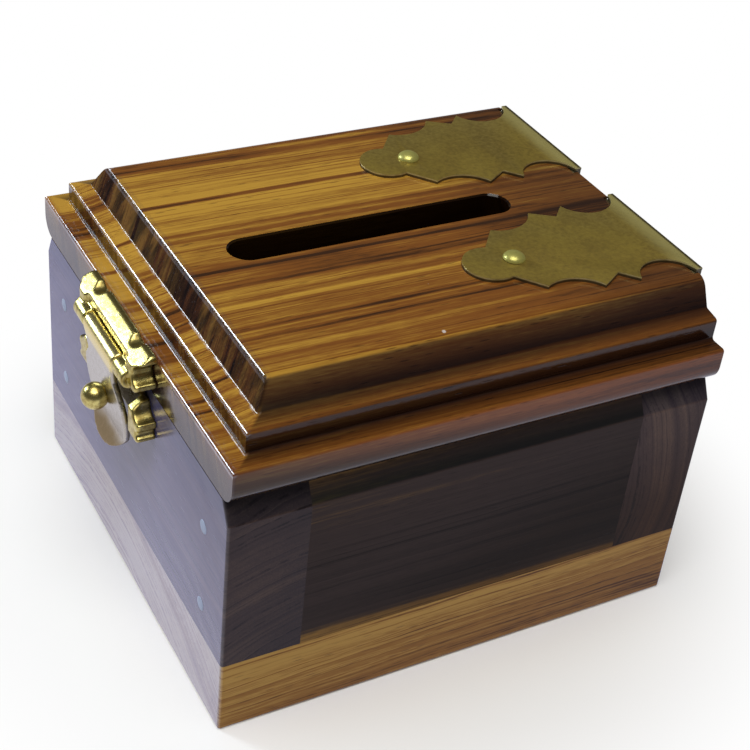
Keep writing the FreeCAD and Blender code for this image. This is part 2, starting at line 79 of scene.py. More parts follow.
class Graph:
    """Lays and wires nodes in one shader or geometry tree."""

    def __init__(self, tree: bpy.types.NodeTree) -> None:
        """Keep the tree that the nodes go into."""
        self.tree = tree

    def feed(self, socket: Socket, value: Any) -> None:
        """Wire a socket to another one, or give it a plain value."""
        if isinstance(value, bpy.types.NodeSocket):
            self.tree.links.new(value, socket)
        else:
            socket.default_value = value

    def add(self, kind: str, inputs: dict[str | int, Any] | None = None, **settings: Any) -> bpy.types.Node:
        """Add a node.

        Args:
            kind: Blender's name of the node type.
            inputs: Value or socket for each input, by name or number.
            **settings: Properties of the node itself, set before its inputs.

        Returns:
            The new node.
        """
        node = self.tree.nodes.new(kind)
        for name, value in settings.items():
            setattr(node, name, value)
        for key, value in (inputs or {}).items():
            self.feed(node.inputs[key], value)
        return node

    def math(self, operation: str, first: Any, second: Any = 0.0, third: Any = 0.0) -> Socket:
        """Arithmetic on up to three values."""
        return self.add("ShaderNodeMath", {0: first, 1: second, 2: third}, operation=operation).outputs[0]

    def plus(self, first: Any, second: Any) -> Socket:
        """Sum of two values."""
        return self.math("ADD", first, second)

    def minus(self, first: Any, second: Any) -> Socket:
        """Difference of two values."""
        return self.math("SUBTRACT", first, second)

    def hypot(self, first: Any, second: Any) -> Socket:
        """Length of the long side of a right triangle with these two sides."""
        squares = (self.math("POWER", side, 2.0) for side in (first, second))
        return self.math("SQRT", self.plus(*squares))

    def total(self, *terms: tuple[Any, float]) -> Socket:
        """Sum of (value, weight) terms."""
        result: Any = 0.0
        for value, weight in terms:
            result = self.math("MULTIPLY_ADD", value, weight, result)
        return result

    def vector(self, operation: str, first: Any, second: Any) -> Socket:
        """Arithmetic on two vectors."""
        return self.add("ShaderNodeVectorMath", {0: first, 1: second}, operation=operation).outputs[0]

    def split(self, vector: Socket) -> tuple[Socket, Socket, Socket]:
        """The three parts of a vector."""
        return tuple(self.add("ShaderNodeSeparateXYZ", {0: vector}).outputs)

    def noise(self, vector: Any, stretch: Place, detail: float = 2.0, roughness: float = 0.5) -> Socket:
        """Cloudy noise in space, about one feature per unit of the stretched vector."""
        place = self.vector("MULTIPLY", vector, stretch)
        inputs = {"Vector": place, "Scale": 1.0, "Detail": detail, "Roughness": roughness}
        return self.add("ShaderNodeTexNoise", inputs).outputs[0]

    def line_noise(self, along: Any, scale: float, detail: float = 2.0, roughness: float = 0.5) -> Socket:
        """Noise that changes along one value only."""
        inputs = {"W": along, "Scale": scale, "Detail": detail, "Roughness": roughness}
        return self.add("ShaderNodeTexNoise", inputs, noise_dimensions="1D").outputs[0]

    def cells(self, vector: Any, stretch: Place) -> bpy.types.Node:
        """Scattered cells, with the distance to the nearest middle and a random colour for each."""
        place = self.vector("MULTIPLY", vector, stretch)
        return self.add("ShaderNodeTexVoronoi", {"Vector": place, "Scale": 1.0})

    def slide(self, value: Any, low: Any, high: Any, start: Any = 0.0, end: Any = 1.0) -> Socket:
        """Smooth passage from start to end while a value goes from low to high."""
        inputs = {"Value": value, "From Min": low, "From Max": high, "To Min": start, "To Max": end}
        return self.add("ShaderNodeMapRange", inputs, interpolation_type="SMOOTHSTEP").outputs[0]

    def band(self, value: Any, middle: float, half: float, soft: float) -> Socket:
        """One within half of a middle value, and fading to nought over a soft edge."""
        off = self.math("ABSOLUTE", self.minus(value, middle))
        return self.slide(off, half, half + soft, 1.0, 0.0)

    def product(self, *factors: Any) -> Socket:
        """All the factors multiplied together."""
        result = factors[0]
        for factor in factors[1:]:
            result = self.math("MULTIPLY", result, factor)
        return result

    def blend(self, factor: Any, first: Any, second: Any, way: str = "MIX") -> Socket:
        """Mix of two colours."""
        node = self.add("ShaderNodeMix", {0: factor, 6: first, 7: second}, data_type="RGBA", blend_type=way)
        return node.outputs[2]

    def group(self, tree: bpy.types.NodeTree, inputs: dict[str, Any]) -> bpy.types.Node:
        """Place a shader group with its own values."""
        return self.add("ShaderNodeGroup", inputs, node_tree=tree)


def open_group(
    name: str, takes: dict[str, Any], gives: dict[str, str]
) -> tuple[Graph, dict[str, Socket], bpy.types.NodeInputs]:
    """Start a shader group.

    Args:
        name: Name of the group.
        takes: Named inputs with their default values, which also tell their kinds.
        gives: Named outputs with their kinds, Float or Color.

    Returns:
        The group's graph, the sockets of its inputs by name, and those that its outputs are fed to.
    """
    tree = bpy.data.node_groups.new(name, "ShaderNodeTree")
    for title, value in takes.items():
        kind = "Float" if isinstance(value, float) else {3: "Vector", 4: "Color"}[len(value)]
        socket = tree.interface.new_socket(title, in_out="INPUT", socket_type="NodeSocket" + kind)
        socket.default_value = value
    for title, kind in gives.items():
        tree.interface.new_socket(title, in_out="OUTPUT", socket_type="NodeSocket" + kind)
    graph = Graph(tree)
    source = graph.add("NodeGroupInput")
    return graph, {title: source.outputs[title] for title in takes}, graph.add("NodeGroupOutput").inputs


@cache
def ring_distance() -> bpy.types.NodeTree:
    """Group: distance across the growth rings from a pith line along Y, wandering slowly along the grain."""
    takes = {"Vector": ORIGIN, "Pith X": 0.0, "Pith Z": 0.0, "Start": 0.0, "Wander": 1.0, "Seed": 0.0}
    graph, take, give = open_group("ring distance", takes, {"Across": "Float"})
    x, _, z = graph.split(take["Vector"])
    radius = graph.hypot(graph.minus(x, take["Pith X"]), graph.minus(z, take["Pith Z"]))
    place = graph.vector("ADD", take["Vector"], take["Seed"])
    slow = graph.noise(place, (0.03, 0.012, 0.03), 1.0)
    quick = graph.noise(place, (0.16, 0.05, 0.16), 2.0)
    sway = graph.minus(graph.total((slow, 1.0), (quick, 0.3)), 0.65)
    bent = graph.math("MULTIPLY_ADD", sway, take["Wander"], radius)
    graph.feed(give["Across"], graph.minus(bent, take["Start"]))
    return graph.tree


@cache
def walnut_figure() -> bpy.types.NodeTree:
    """Group: colour of walnut from growth rings, hair lines, fibres and pores."""
    takes = {
        "Vector": ORIGIN, "Across": 0.0, "Seed": 0.0, "Ring Width": 2.5, "Tone": 0.5, "Contrast": 1.0,
        "Light": (0.4, 0.23, 0.05, 1.0), "Mid": (0.18, 0.08, 0.02, 1.0), "Deep": (0.03, 0.014, 0.007, 1.0),
    }
    gives = {"Color": "Color", "Pores": "Float", "Fibre": "Float"}
    graph, take, give = open_group("walnut figure", takes, gives)
    place = graph.vector("ADD", take["Vector"], take["Seed"])
    across = graph.plus(take["Across"], take["Seed"])
    broad = graph.line_noise(across, 0.15, 2.0)
    lines = graph.line_noise(across, 0.7, 5.0, 0.72)
    turns = graph.math("MULTIPLY_ADD", broad, 2.4, graph.math("DIVIDE", across, take["Ring Width"]))
    luck = graph.add("ShaderNodeTexWhiteNoise", {"W": graph.math("FLOOR", turns)}, noise_dimensions="1D")
    late = graph.math("POWER", graph.math("FRACT", turns), 4.0)
    rings = graph.product(late, luck.outputs["Value"])
    hairs = graph.slide(graph.line_noise(across, 1.7, 1.0), 0.6, 0.72)
    broken = graph.slide(graph.noise(place, (0.7, 0.05, 0.7), 1.0), 0.35, 0.6)
    fibre = graph.noise(place, (4.2, 0.16, 4.2), 3.0, 0.6)
    dashes = graph.noise(place, (6.0, 0.5, 6.0), 2.0, 0.6)
    cloud = graph.noise(place, (0.18, 0.03, 0.18), 2.0)
    spread = graph.total(
        (broad, 0.9), (lines, 1.1), (fibre, 0.5), (dashes, 0.4), (cloud, 0.4), (rings, -0.45),
        (graph.product(hairs, broken), -0.4),
    )
    swing = graph.product(graph.minus(spread, 1.5), take["Contrast"])
    tone = graph.plus(take["Tone"], swing)
    low = graph.blend(graph.slide(tone, 0.0, 0.5), take["Deep"], take["Mid"])
    colour = graph.blend(graph.slide(tone, 0.45, 1.0), low, take["Light"])
    near = graph.cells(place, (2.3, 0.25, 2.3)).outputs["Distance"]
    open_wood = graph.slide(graph.line_noise(across, 0.8, 1.0), 0.35, 0.6)
    pores = graph.product(graph.slide(near, 0.1, 0.24, 1.0, 0.0), open_wood)
    graph.feed(give["Color"], graph.blend(graph.product(pores, 0.6), colour, take["Deep"]))
    graph.feed(give["Pores"], pores)
    graph.feed(give["Fibre"], fibre)
    return graph.tree


@cache
def dark_streak() -> bpy.types.NodeTree:
    """Group: mask of one dark streak that runs along the grain and thins out in places."""
    takes = {"Vector": ORIGIN, "Across": 0.0, "Middle": 0.0, "Half Width": 1.0, "Depth": 0.5}
    graph, take, give = open_group("dark streak", takes, {"Mask": "Float"})
    place = graph.vector("ADD", take["Vector"], take["Middle"])
    ragged = graph.minus(graph.noise(place, (1.5, 0.12, 1.5), 3.0), 0.5)
    off = graph.math("ABSOLUTE", graph.minus(take["Across"], take["Middle"]))
    share = graph.plus(graph.math("DIVIDE", off, take["Half Width"]), ragged)
    fade = graph.slide(graph.noise(place, (0.2, 0.05, 0.2), 1.0), 0.3, 0.6, 0.35, 1.0)
    body = graph.product(graph.slide(share, 0.1, 1.2, 1.0, 0.0), fade)
    graph.feed(give["Mask"], graph.product(body, take["Depth"]))
    return graph.tree


@cache
def arris_line() -> bpy.types.NodeTree:
    """Group: mask that is strong near a straight edge along X."""
    takes = {"Vector": ORIGIN, "Edge Y": 0.0, "Edge Z": 0.0, "Reach": 1.0}
    graph, take, give = open_group("arris line", takes, {"Mask": "Float"})
    _, y, z = graph.split(take["Vector"])
    away = graph.hypot(graph.minus(y, take["Edge Y"]), graph.minus(z, take["Edge Z"]))
    graph.feed(give["Mask"], graph.slide(away, 0.3, take["Reach"], 1.0, 0.0))
    return graph.tree


@cache
def lid_steps() -> bpy.types.NodeTree:
    """Group: masks of the stepped lid from the distance in from its edge and the height over its underside.

    Steep is strong on the risers and the crown's bevel, Beside on the two sides and not on the front, Nose
    on the outer edge and Under on its lower half, Hollow on the side ledges towards their inner corners,
    Corner in those corners, and Slot inside the slot.
    """
    takes = {
        "Vector": ORIGIN, "Half Width": 31.05, "Front": FRONT_Y, "Underside": 35.25,
        "Slot Half Length": 19.93, "Slot Half Width": 2.68, "Slot Middle": -0.5, "Slot Rim": 47.02,
    }
    names = ("Steep", "Beside", "Nose", "Under", "Hollow", "Corner", "Slot")
    graph, take, give = open_group("lid steps", takes, {name: "Float" for name in names})
    ledge_in, ledge_up = 2.5, 5.1
    crown_in, crown_up = 4.7, 8.4
    bevel_slope = (-0.894, 0.447)
    x, y, z = graph.split(take["Vector"])
    side = graph.math("ABSOLUTE", x)
    from_side = graph.minus(take["Half Width"], side)
    from_front = graph.minus(y, take["Front"])
    inset = graph.math("MINIMUM", from_side, from_front)
    rise = graph.minus(z, take["Underside"])
    riser = graph.product(graph.band(inset, ledge_in, 0.15, 0.2), graph.band(rise, 6.55, 1.05, 0.35))
    run = graph.minus(inset, crown_in)
    climb = graph.minus(rise, crown_up)
    off_bevel = graph.total(*zip((run, climb), bevel_slope))
    bevel = graph.product(graph.band(off_bevel, 0.0, 0.15, 0.2), graph.band(rise, 10.1, 1.45, 0.3))
    graph.feed(give["Steep"], graph.math("MAXIMUM", riser, bevel))
    edge = graph.slide(inset, 0.4, 0.8, 1.0, 0.0)
    graph.feed(give["Nose"], graph.product(edge, graph.band(rise, 2.5, 2.3, 0.3)))
    graph.feed(give["Under"], graph.slide(rise, 0.6, 3.6, 1.0, 0.0))
    low_corner = graph.hypot(graph.minus(inset, ledge_in), graph.minus(rise, ledge_up))
    nearest = graph.math("MINIMUM", low_corner, graph.hypot(run, climb))
    graph.feed(give["Corner"], graph.slide(nearest, 0.1, 0.28, 1.0, 0.0))
    beside = graph.slide(graph.minus(from_front, from_side), 0.0, 0.6)
    graph.feed(give["Beside"], beside)
    graph.feed(give["Hollow"], graph.product(graph.slide(nearest, 0.1, 2.9, 1.0, 0.0), beside))
    along = graph.math("ABSOLUTE", graph.minus(y, take["Slot Middle"]))
    inside = [
        graph.math("LESS_THAN", value, take[limit])
        for value, limit in ((along, "Slot Half Length"), (side, "Slot Half Width"), (z, "Slot Rim"))
    ]
    graph.feed(give["Slot"], graph.product(*inside))
    return graph.tree


@cache
def lacquer_skin() -> bpy.types.NodeTree:
    """Group: height and roughness of brushed lacquer over open pores, beaded where it lumps."""
    takes = {"Vector": ORIGIN, "Pores": 0.0, "Fibre": 0.5, "Lumps": 0.0, "Dullness": 0.2}
    graph, take, give = open_group("lacquer skin", takes, {"Height": "Float", "Roughness": "Float"})
    peel = graph.noise(take["Vector"], (1.1, 1.1, 1.1), 1.0)
    ripple = graph.noise(take["Vector"], (0.22, 0.22, 0.22), 1.0)
    beads = graph.product(graph.noise(take["Vector"], (1.7, 1.9, 1.9), 3.0), take["Lumps"])
    height = graph.total(
        (peel, 0.3), (ripple, 0.8), (beads, 4.5), (take["Pores"], -0.3), (take["Fibre"], 0.12)
    )
    haze = graph.noise(take["Vector"], (0.09, 0.09, 0.09), 3.0)
    roughness = graph.plus(take["Dullness"], graph.total((haze, 0.12), (take["Pores"], 0.12)))
    graph.feed(give["Height"], height)
    graph.feed(give["Roughness"], graph.minus(roughness, 0.06))
    return graph.tree


@cache
def fine_specks() -> bpy.types.NodeTree:
    """Group: mask of small scattered specks, such as dust on lacquer or pits in brass."""
    takes = {"Vector": ORIGIN, "Density": 0.3, "Size": 0.06, "Share": 0.3}
    graph, take, give = open_group("fine specks", takes, {"Mask": "Float"})
    place = graph.vector("MULTIPLY", take["Vector"], take["Density"])
    cells = graph.add("ShaderNodeTexVoronoi", {"Vector": place, "Scale": 1.0})
    luck = graph.split(cells.outputs["Color"])[0]
    kept = graph.math("LESS_THAN", luck, take["Share"])
    edge = graph.product(take["Size"], 0.6)
    dot = graph.slide(cells.outputs["Distance"], edge, take["Size"], 1.0, 0.0)
    graph.feed(give["Mask"], graph.product(dot, kept))
    return graph.tree


@cache
def brass_skin() -> bpy.types.NodeTree:
    """Group: colour, roughness and height of handled brass with tarnish clouds, rubbed marks and pits."""
    takes = {
        "Vector": ORIGIN, "Bright": (0.8, 0.6, 0.3, 1.0), "Dull": (0.4, 0.3, 0.1, 1.0),
        "Tarnish": 0.5, "Gloss Loss": 0.2, "Pits": 0.0,
    }
    gives = {"Color": "Color", "Roughness": "Float", "Height": "Float"}
    graph, take, give = open_group("brass skin", takes, gives)
    cloud = graph.noise(take["Vector"], (0.2, 0.2, 0.2), 4.0, 0.6)
    mottle = graph.noise(take["Vector"], (1.6, 1.6, 1.6), 4.0, 0.7)
    rubbed = graph.noise(take["Vector"], (9.0, 0.5, 9.0), 2.0, 0.6)
    stain = graph.slide(graph.total((cloud, 0.35), (mottle, 0.5), (rubbed, 0.15)), 0.34, 0.66)
    share = graph.product(stain, take["Tarnish"])
    dark = graph.math("MAXIMUM", share, graph.product(take["Pits"], 0.7))
    graph.feed(give["Color"], graph.blend(dark, take["Bright"], take["Dull"]))
    rough = graph.total((share, 0.18), (rubbed, 0.12), (take["Pits"], 0.2))
    graph.feed(give["Roughness"], graph.plus(rough, take["Gloss Loss"]))
    height = graph.total((mottle, 0.45), (rubbed, 0.3), (cloud, 0.8), (take["Pits"], -0.8))
    graph.feed(give["Height"], height)
    return graph.tree


def set_plain(shader: bpy.types.Node, values: dict[str, Any]) -> None:
    """Set sockets of a shader that are the same all over the surface."""
    for name, value in values.items():
        shader.inputs[name].default_value = value


def open_material(name: str) -> tuple[bpy.types.Material, Graph, bpy.types.Node, Socket]:
    """Start a material.

    Args:
        name: Name of the finish.

    Returns:
        The material, its graph, its shader, and the place on the object in millimetres.
    """
    material = bpy.data.materials.new(name)
    material.use_nodes = True
    graph = Graph(material.node_tree)
    shader = material.node_tree.nodes["Principled BSDF"]
    place = graph.add("ShaderNodeTexCoord").outputs["Object"]
    return material, graph, shader, graph.vector("MULTIPLY", place, (1000.0, 1000.0, 1000.0))


@dataclass(frozen=True)
class Streak:
    """A dark streak of the lid: its place and half width across the top in mm, and its depth of tone."""

    place: float
    half_width: float
    depth: float


@dataclass(frozen=True)
class Chip:
    """A small chipped spot on a board: its place and radius in mm, and its colour."""

    place: Place
    radius: float
    colour: Colour

    def over(self, graph: Graph, place: Socket, colour: Socket) -> Socket:
        """Colour of the board with this chip on it."""
        ragged = graph.noise(place, (2.5, 2.5, 2.5), 2.0)
        away = graph.add("ShaderNodeVectorMath", {0: place, 1: self.place}, operation="DISTANCE")
        reach = graph.math("MULTIPLY_ADD", ragged, self.radius, away.outputs["Value"])
        mask = graph.slide(reach, self.radius, 1.5 * self.radius, 0.9, 0.0)
        return graph.blend(mask, colour, self.colour)


@dataclass(frozen=True)
class Fade:
    """A change of colour up a board, from a low shade to a high one between two heights in mm, mostly painted
    shade and painted sheen.

    It begins at a start height, and its lean raises it by so many mm for each mm towards the back.
    """

    heights: tuple[float, float]
    low: Colour
    high: Colour
    lean: float = 0.0
    start: float = 0.0

    @classmethod
    def on_front(cls, inner: float, outer: float, shade: Colour) -> "Fade":
        """A shade of the front face alone, which comes in between two depths in mm."""
        lean = 1000.0
        return cls((-inner * lean, -outer * lean), PLAIN, shade, lean)

    def over(self, graph: Graph, place: Socket, colour: Socket, mask: Any = 1.0) -> Socket:
        """Colour of the board under this shade, where the mask lets it."""
        _, y, z = graph.split(place)
        height = graph.total((z, 1.0), (y, -self.lean))
        shade = graph.blend(graph.slide(height, *self.heights), self.low, self.high)
        begun = graph.slide(z, self.start, self.start + 0.3)
        return graph.blend(graph.product(begun, mask), colour, shade, "MULTIPLY")


@dataclass(frozen=True)
class WoodFinish:
    """Lacquered walnut, with growth rings round a pith line that lies along the grain.

    Lengths are in mm. The pith is (across, up) in the board's own turn, where the grain lies along Y.
    """

    name: str
    grain: Grain
    pith: tuple[float, float]
    seed: float
    tone: float
    light: Colour
    mid: Colour
    deep: Colour
    ring_width: float = 2.6
    wander: float = 3.0
    contrast: float = 1.0
    dullness: float = 0.2
    gloss: float = 0.5
    reference: tuple[float, float] = (0.0, 0.0)
    drift: Place = (0.0, 0.0, 0.0)
    streaks: tuple[Streak, ...] = ()
    arrises: tuple[tuple[float, float], ...] = ()
    pale_foot: tuple[float, float, float] | None = None
    front_gloss: tuple[float, float] | None = None
    sheen: float = 0.0
    sheen_tint: Colour = (0.36, 0.38, 1.0, 1.0)
    coat_roughness: float = 0.3
    chips: tuple[Chip, ...] = ()
    # Fades up the board, mostly painted shade and painted sheen.
    fades: tuple[Fade, ...] = ()
    dust_share: float = 0.4
    dust_colour: Colour = (0.42, 0.36, 0.3, 1.0)
    relief: float = 2.4e-5

    def material(self) -> bpy.types.Material:
        """Build the finish.

        Returns:
            The material.
        """
        material, graph, shader, place = open_material(self.name)
        turn = (0.0, 0.0, self.grain.value)
        turned = graph.add("ShaderNodeMapping", {"Vector": place, "Rotation": turn}).outputs[0]
        start = math.hypot(self.reference[0] - self.pith[0], self.reference[1] - self.pith[1])
        rings = {"Vector": turned, "Pith X": self.pith[0], "Pith Z": self.pith[1], "Start": start}
        across = graph.group(ring_distance(), rings | {"Wander": self.wander, "Seed": self.seed}).outputs[0]
        figure = graph.group(walnut_figure(), {
            "Vector": turned, "Across": across, "Seed": self.seed, "Ring Width": self.ring_width,
            "Tone": self.tone_map(graph, place, turned, across), "Contrast": self.contrast,
            "Light": self.light, "Mid": self.mid, "Deep": self.deep,
        })
        skin = graph.group(lacquer_skin(), {
            "Vector": place, "Pores": figure.outputs["Pores"], "Fibre": figure.outputs["Fibre"],
            "Lumps": self.lumps(graph, place), "Dullness": self.dullness,
        })
        colour = self.shaded(graph, place, figure.outputs["Color"])
        if self.front_gloss:
            self.gloss_front(graph, shader, place)
        for chip in self.chips:
            colour = chip.over(graph, place, colour)
        dust = graph.group(fine_specks(), {"Vector": place, "Density": 0.28, "Size": 0.03, "Share": 0.16})
        pale = graph.product(dust.outputs["Mask"], self.dust_share)
        colour = graph.blend(pale, colour, self.dust_colour)
        bump = graph.add("ShaderNodeBump", {"Height": skin.outputs["Height"], "Distance": self.relief})
        graph.feed(shader.inputs["Base Color"], colour)
        graph.feed(shader.inputs["Roughness"], skin.outputs["Roughness"])
        graph.feed(shader.inputs["Normal"], bump.outputs["Normal"])
        set_plain(shader, {"Specular IOR Level": self.gloss, "IOR": 1.5})
        return material

    def shaded(self, graph: Graph, place: Socket, colour: Socket) -> Socket:
        """Colour of the wood under its fades, which are mostly painted shade and painted sheen."""
        for fade in self.fades:
            colour = fade.over(graph, place, colour)
        return colour

    def gloss_front(self, graph: Graph, shader: bpy.types.Node, place: Socket) -> None:
        """Give the front face a sheen and a thick gloss, stronger at the foot and sunk along arched grain.

        Args:
            graph: Graph of the material.
            shader: Its shader.
            place: Place on the object in mm.
        """
        x, y, z = graph.split(place)
        top_gloss, foot_gloss = self.front_gloss
        front = graph.slide(y, FRONT_Y + 0.12, FRONT_Y + 0.4, 1.0, 0.0)
        foot = graph.slide(z, 8.0, 36.0, foot_gloss, top_gloss)
        patches = graph.slide(graph.noise(place, (0.05, 0.05, 0.05), 2.0), 0.25, 0.75, 0.8, 1.1)
        near = graph.slide(x, -30.0, 22.0, 0.66, 1.05)
        fall = graph.math("POWER", graph.minus(x, 4.0), 2.0)
        drift = graph.noise(place, (0.06, 0.06, 0.06), 2.0)
        arch = graph.total((z, 1.0), (fall, 0.012), (drift, 9.0))
        sunk = graph.slide(graph.line_noise(arch, 0.32, 4.0, 0.65), 0.36, 0.64, 1.05, 0.82)
        coat = graph.product(front, foot, patches, near, sunk)
        thick = graph.slide(x, -28.0, 4.0, 0.45, 1.0)
        for edge in self.arrises:
            strip = graph.product(self.near_arris(graph, place, edge), thick)
            coat = graph.math("MAXIMUM", coat, strip)
        graph.feed(shader.inputs["Coat Weight"], graph.math("MINIMUM", coat, 1.0))
        set_plain(shader, {
            "Coat IOR": LACQUER_IOR, "Coat Roughness": self.coat_roughness,
            "Sheen Weight": self.sheen, "Sheen Roughness": 0.3, "Sheen Tint": self.sheen_tint,
        })

    def tone_map(self, graph: Graph, place: Socket, turned: Socket, across: Socket) -> Any:
        """Tone of the wood before its figure: plain, or with a drift, streaks and a pale foot.

        Args:
            graph: Graph of the material.
            place: Place on the object in mm.
            turned: The same, with the grain along Y.
            across: Distance across the rings.

        Returns:
            A number, or a socket where the tone changes over the board.
        """
        tone: Any = self.tone
        if any(self.drift):
            off = graph.vector("SUBTRACT", place, (0.0, 0.0, 22.0))
            slope = graph.add("ShaderNodeVectorMath", {0: off, 1: self.drift}, operation="DOT_PRODUCT")
            tone = graph.plus(slope.outputs["Value"], tone)
        for streak in self.streaks:
            inputs = {
                "Vector": turned, "Across": across, "Middle": streak.place,
                "Half Width": streak.half_width, "Depth": streak.depth,
            }
            tone = graph.minus(tone, graph.group(dark_streak(), inputs).outputs[0])
        if self.pale_foot:
            low, high, gain = self.pale_foot
            ragged = graph.minus(graph.noise(turned, (0.1, 0.06, 0.1), 2.0), 0.5)
            height = graph.math("MULTIPLY_ADD", ragged, 1.4, graph.split(place)[2])
            tone = graph.plus(tone, graph.slide(height, low, high, gain, 0.0))
        return tone

    def lumps(self, graph: Graph, place: Socket) -> Any:
        """Mask of the lacquer beads along the board's edges, or a little all over where it has none."""
        mask: Any = 0.06
        for edge in self.arrises:
            mask = graph.math("MAXIMUM", mask, self.near_arris(graph, place, edge))
        return mask

    @staticmethod
    def near_arris(graph: Graph, place: Socket, edge: tuple[float, float]) -> Socket:
        """Mask of the strip along one front edge, given by its (y, z)."""
        inputs = {"Vector": place, "Edge Y": edge[0], "Edge Z": edge[1], "Reach": BEAD_REACH}
        return graph.group(arris_line(), inputs).outputs[0]


@dataclass(frozen=True)
class LidFinish(WoodFinish):
    """Walnut of the stepped lid: painted shade on its steep faces, side hollows, underside and slot, painted
    shade and sheen on its nose, and a painted highlight in its front corners.
    """

    # Painted shade on the steep faces, the risers and the crown's bevel; at the front it adds to their darker
    # end grain.
    side_steep_shade: Colour = (0.36, 0.38, 0.75, 1.0)
    front_steep_shades: tuple[Colour, Colour] = ((0.09, 0.09, 0.2, 1.0), (0.36, 0.33, 0.55, 1.0))
    # Painted shade and light on the nose: darker low down, lighter higher up.
    nose_painted_shade_fade: Fade = Fade((35.3, 40.2), (0.42, 0.56, 0.8, 1.0), (1.65, 1.45, 1.45, 1.0), -0.083)
    # Painted shade in the inner corners of the side ledges.
    hollow_shade: Colour = (0.22, 0.22, 0.4, 1.0)
    # Painted cool sheen on the nose: bluer and a little darker.
    nose_painted_sheen: Colour = (0.8, 0.84, 1.5, 1.0)
    # Painted shade on the lid's lower part, under the nose.
    under_shade: Colour = (0.45, 0.42, 0.5, 1.0)
    # Painted shadow inside the slot.
    slot_shade: Colour = (0.05, 0.045, 0.04, 1.0)
    # Painted highlight: a pale line in the front's inner corners.
    corner_painted_highlight: Colour = (0.5, 0.43, 0.4, 1.0)

    def shaded(self, graph: Graph, place: Socket, colour: Socket) -> Socket:
        """Colour of the wood with the lid's painted shade, sheen and highlights.

        Args:
            graph: Graph of the material.
            place: Place on the object in mm.
            colour: Colour of the wood.

        Returns:
            The shaded colour.
        """
        colour = super().shaded(graph, place, colour)
        steps = graph.group(lid_steps(), {"Vector": place}).outputs
        # Mottled end grain of the front steep faces, under painted shade.
        end_grain = graph.slide(graph.noise(place, (0.55, 0.16, 0.16), 4.0, 0.65), 0.36, 0.64)
        front_steep = graph.blend(end_grain, *self.front_steep_shades)
        painted_light_by_mask = {
            "Steep": graph.blend(steps["Beside"], front_steep, self.side_steep_shade),
            "Hollow": self.hollow_shade, "Nose": self.nose_painted_sheen, "Under": self.under_shade,
            "Slot": self.slot_shade,
        }
        # Each mask multiplies in its painted shade; on the nose it is a painted cool sheen.
        for mask, shade in painted_light_by_mask.items():
            colour = graph.blend(steps[mask], colour, shade, "MULTIPLY")
        # Painted shade and light on the nose by height.
        colour = self.nose_painted_shade_fade.over(graph, place, colour, steps["Nose"])
        x, y, _ = graph.split(place)
        # Painted highlight in the front's inner corners: broken, stronger towards the right, and not on the
        # sides.
        broken = graph.slide(graph.noise(place, (0.45, 0.8, 0.8), 3.0, 0.6), 0.44, 0.6, 0.0, 0.8)
        front = graph.slide(y, -27.8, -27.0, 1.0, 0.0)
        thick = graph.slide(x, -26.0, 16.0, 0.12, 1.0)
        ahead = graph.minus(1.0, steps["Beside"])
        painted_corner_glint = graph.product(steps["Corner"], broken, front, thick, ahead)
        return graph.blend(painted_corner_glint, colour, self.corner_painted_highlight)


@dataclass(frozen=True)
class MetalFinish:
    """Metal with clouds of tarnish, rubbed marks and pits, less metallic where lacquer and age dull it."""

    name: str
    bright: Colour
    dull: Colour
    tarnish: float
    gloss_loss: float
    relief: float
    metallic: float = 1.0

    def material(self) -> bpy.types.Material:
        """Build the finish.

        Returns:
            The material.
        """
        material, graph, shader, place = open_material(self.name)
        pits = graph.group(fine_specks(), {"Vector": place, "Density": 0.55, "Size": 0.08, "Share": 0.3})
        skin = graph.group(brass_skin(), {
            "Vector": place, "Bright": self.bright, "Dull": self.dull, "Tarnish": self.tarnish,
            "Gloss Loss": self.gloss_loss, "Pits": pits.outputs["Mask"],
        })
        bump = graph.add("ShaderNodeBump", {"Height": skin.outputs["Height"], "Distance": self.relief})
        graph.feed(shader.inputs["Base Color"], self.painted_light_and_shape_colour(graph, place, skin.outputs["Color"]))
        graph.feed(shader.inputs["Roughness"], skin.outputs["Roughness"])
        graph.feed(shader.inputs["Normal"], bump.outputs["Normal"])
        set_plain(shader, {"Metallic": self.metallic})
        return material

    def painted_light_and_shape_colour(self, graph: Graph, place: Socket, colour: Socket) -> Socket:
        """Colour of the metal with the painted light and colour changes of its shape, of which a plain
        fitting has none.
        """
        return colour


